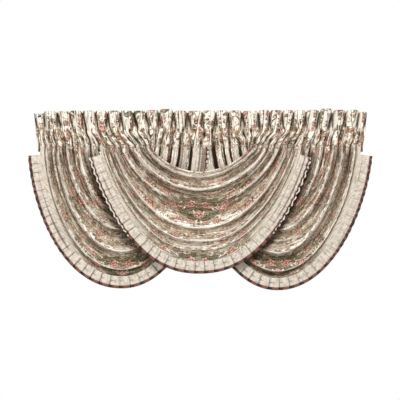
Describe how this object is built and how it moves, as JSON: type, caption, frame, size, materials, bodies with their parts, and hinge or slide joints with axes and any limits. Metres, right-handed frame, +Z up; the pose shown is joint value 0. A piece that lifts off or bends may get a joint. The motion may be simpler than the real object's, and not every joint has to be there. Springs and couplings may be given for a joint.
{
  "type": "swag valance",
  "caption": "Rod-pocket valance with a gathered ruffle heading and overlapping draped swags in flowered cloth, each edged with a pleated ivory border and a narrow dark edging.",
  "frame": {"origin": "middle of the heading's top edge, level with the axis of the rod pocket from front to back", "axes": "+X to the right as seen from the front, +Y towards the wall, so the front faces -Y, and +Z up"},
  "size_m": [1.646, 0.139, 0.8684],
  "materials": {
    "jacquard": "silvery ivory and taupe jacquard with a coral, rust and olive flower print and a soft sheen",
    "border": "plain ivory cloth in pressed knife pleats",
    "edging": "matt edging in alternating dark brown and rust red"
  },
  "bodies": {
    "root": {"heading": "jacquard", "swag_left": "jacquard", "swag_right": "jacquard", "swag_centre": "jacquard", "border_left": "border", "border_right": "border", "border_centre": "border", "edging_left": "edging", "edging_right": "edging", "edging_centre": "edging"}
  },
  "joints": []
}
